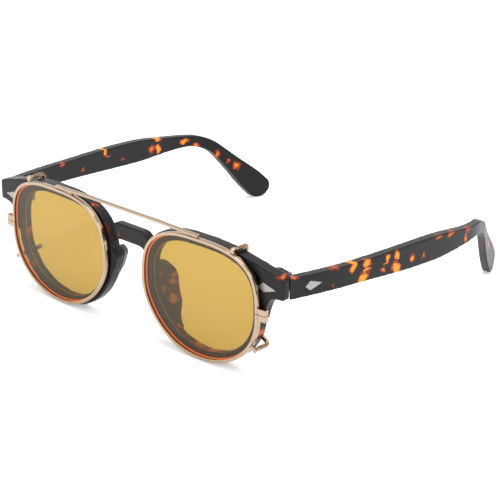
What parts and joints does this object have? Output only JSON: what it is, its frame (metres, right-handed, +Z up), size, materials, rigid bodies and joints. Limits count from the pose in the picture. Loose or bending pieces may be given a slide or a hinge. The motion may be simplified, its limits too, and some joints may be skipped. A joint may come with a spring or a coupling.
{
  "type": "clip-on sunglasses",
  "caption": "Acetate eyeglasses with a keyhole bridge and folding temples, worn with a gold metal clip-on that hooks tinted lenses over the front.",
  "frame": {"origin": "on the surface that the glasses stand on, under the middle of their box", "axes": "+X to the wearer's left, +Y back along the temples, +Z up; the front faces -Y"},
  "size_m": [0.154, 0.1362, 0.0455],
  "materials": {
    "acetate": "satin dark tortoise acetate",
    "clear lens": "clear polished lens",
    "tinted lens": "transparent amber lens",
    "gold metal": "polished pale gold plating",
    "silver rivets": "brushed silver",
    "steel hardware": "brushed steel",
    "clear sleeve": "clear soft sleeve"
  },
  "bodies": {
    "frame": {"demo_lens_left": "clear lens", "demo_lens_right": "clear lens", "front": "acetate", "front_rivet_left": "silver rivets", "front_rivet_right": "silver rivets", "hinge_front_leaf_left": "steel hardware", "hinge_front_leaf_right": "steel hardware", "hinge_screw_left": "steel hardware", "hinge_screw_right": "steel hardware", "nose_pad_left": "acetate", "nose_pad_right": "acetate"},
    "temple_left": {"core_wire_left": "steel hardware", "hinge_temple_leaf_left": "steel hardware", "temple_left": "acetate", "temple_rivet_left": "silver rivets"},
    "temple_right": {"core_wire_right": "steel hardware", "hinge_temple_leaf_right": "steel hardware", "temple_right": "acetate", "temple_rivet_right": "silver rivets"},
    "clip": {"clip_bar_foot_left": "gold metal", "clip_bar_foot_right": "gold metal", "clip_bridge_bar": "gold metal", "clip_lens_left": "tinted lens", "clip_lens_right": "tinted lens", "clip_rim_left": "gold metal", "clip_rim_right": "gold metal", "closing_block_lower_left": "gold metal", "closing_block_lower_right": "gold metal", "closing_block_upper_left": "gold metal", "closing_block_upper_right": "gold metal", "closing_screw_left": "gold metal", "closing_screw_right": "gold metal", "prong_lower_left": "gold metal", "prong_lower_right": "gold metal", "prong_seat_lower_left": "gold metal", "prong_seat_lower_right": "gold metal", "prong_seat_upper_left": "gold metal", "prong_seat_upper_right": "gold metal", "prong_sleeve_lower_left": "clear sleeve", "prong_sleeve_lower_right": "clear sleeve", "prong_sleeve_upper_left": "clear sleeve", "prong_sleeve_upper_right": "clear sleeve", "prong_upper_left": "gold metal", "prong_upper_right": "gold metal"}
  },
  "joints": [
    {"name": "temple_hinge_left", "type": "hinge", "parent": "frame", "child": "temple_left", "pos_m": [0.06545, -0.05553, 0.0334], "axis": [0, 0, 1], "range_deg": [0, 86]},
    {"name": "temple_hinge_right", "type": "hinge", "parent": "frame", "child": "temple_right", "pos_m": [-0.06545, -0.05553, 0.0334], "axis": [0, 0, -1], "range_deg": [0, 78]},
    {"name": "clip_pull_off", "type": "slide", "parent": "frame", "child": "clip", "axis": [0, -1, 0], "range_m": [0, 0.03], "deforming": ["prong_lower_left", "prong_lower_right", "prong_sleeve_lower_left", "prong_sleeve_lower_right", "prong_sleeve_upper_left", "prong_sleeve_upper_right", "prong_upper_left", "prong_upper_right"]}
  ]
}
